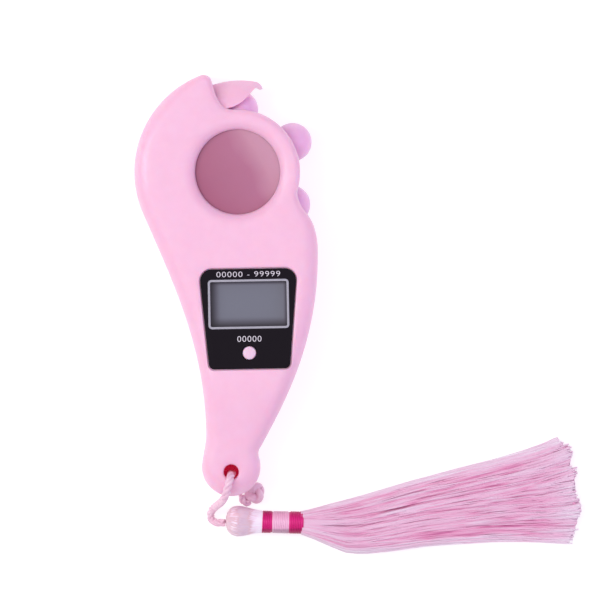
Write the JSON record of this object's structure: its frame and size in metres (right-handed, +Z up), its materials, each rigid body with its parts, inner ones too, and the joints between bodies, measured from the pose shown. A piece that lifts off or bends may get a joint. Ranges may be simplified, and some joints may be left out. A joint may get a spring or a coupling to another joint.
{
  "type": "tally counter",
  "caption": "Hand-held tally counter in a curved shell: a thumb-turned wheel of beads, a round window, a blank display with a reset button, and a corded tassel.",
  "frame": {"origin": "on the floor under the middle of the body's outline, with the body lying on its back", "axes": "+X to the right of the front face, +Y from the tail to the head, +Z up out of the front face"},
  "size_m": [0.0974, 0.1061, 0.0163],
  "materials": {
    "pink_plastic": "smooth satin gloss",
    "rose_pane": "polished, translucent",
    "orchid_bead": "polished",
    "white_plastic": "satin",
    "steel": "plated",
    "black_panel": "glossy",
    "silver_frame": "satin silver",
    "display_grey": "smooth, blank",
    "grey_rubber": "matte",
    "board_green": "solder mask",
    "black_epoxy": "smooth",
    "pale_button": "smooth",
    "plated_brass": "plated",
    "flex_amber": "film",
    "pale_cord": "twisted, slightly translucent",
    "pearl_thread": "silky thread",
    "magenta_thread": "silky thread",
    "pink_thread": "silky thread",
    "orchid_thread": "silky thread"
  },
  "bodies": {
    "case": {"front_shell": "pink_plastic", "rear_shell": "pink_plastic", "battery_door": "pink_plastic", "window_pane": "rose_pane", "lcd_holder": "white_plastic", "wheel_axle": "steel", "axle_washer": "steel", "axle_ring": "steel", "button_cell": "steel", "label_plate": "black_panel", "display_frame": "silver_frame", "lcd_glass": "display_grey", "zebra_strip": "grey_rubber", "main_board": "board_green", "chip_blob": "black_epoxy", "reset_switch": "black_epoxy", "hall_sensor": "black_epoxy", "contact_top": "plated_brass", "contact_side": "plated_brass", "sensor_flex": "flex_amber", "cord": "pale_cord", "cord_end": "pale_cord", "cord_knot": "pale_cord", "tassel_head": "pearl_thread", "tassel_wrap_1": "magenta_thread", "tassel_wrap_2": "pink_thread", "tassel_wrap_3": "magenta_thread", "tassel_skirt": "orchid_thread", "door_screw": "steel", "board_screw_1": "steel", "board_screw_2": "steel", "case_screw_1": "steel", "case_screw_2": "steel", "case_screw_3": "steel"},
    "wheel": {"bead_wheel": "white_plastic", "bead_1": "orchid_bead", "bead_2": "orchid_bead", "bead_3": "orchid_bead", "bead_4": "orchid_bead", "bead_5": "orchid_bead", "bead_6": "orchid_bead", "wheel_magnet_1": "steel", "wheel_magnet_2": "steel", "wheel_magnet_3": "steel", "wheel_magnet_4": "steel", "wheel_magnet_5": "steel", "wheel_magnet_6": "steel"},
    "reset": {"reset_button": "pale_button", "switch_plunger": "white_plastic"}
  },
  "joints": [
    {"name": "wheel_spin", "type": "hinge", "parent": "case", "child": "wheel", "pos_m": [0.00269, 0.02491, 0.008], "axis": [0, 0, 1], "continuous": true},
    {"name": "reset_press", "type": "slide", "parent": "case", "child": "reset", "axis": [0, 0, -1], "range_m": [0, 0.0005], "stiffness_N_per_m": 400, "springref_m": -0.002}
  ]
}
